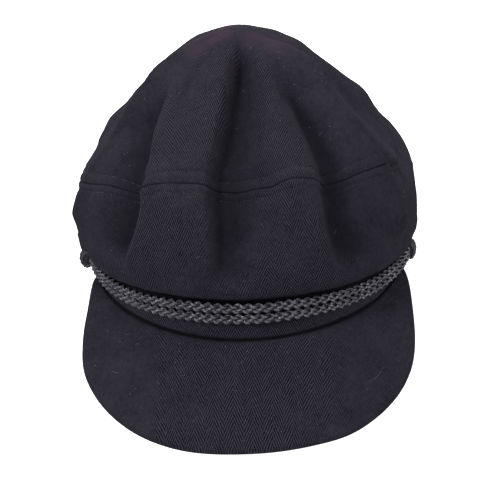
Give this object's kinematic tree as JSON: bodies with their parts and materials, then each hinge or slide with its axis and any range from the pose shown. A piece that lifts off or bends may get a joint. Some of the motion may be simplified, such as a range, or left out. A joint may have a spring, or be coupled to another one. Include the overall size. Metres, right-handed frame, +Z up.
{
  "type": "fiddler cap",
  "caption": "Soft herringbone cloth cap with a puffed, folded crown, upright head band, short curved peak and plaited braid between side knots.",
  "frame": {"origin": "middle of the cap's footprint, on the surface that it rests on", "axes": "+Z up, -Y towards the peak at the front, +X to the right as seen from the front"},
  "size_m": [0.1884, 0.2666, 0.1422],
  "materials": {
    "cloth": "matt herringbone twill",
    "braid": "satin plaited yarn"
  },
  "bodies": {
    "root": {"crown_top": "cloth", "crown_side": "cloth", "band": "cloth", "peak": "cloth", "braid_upper": "braid", "braid_lower": "braid", "knot_left": "braid", "knot_right": "braid"}
  },
  "joints": []
}
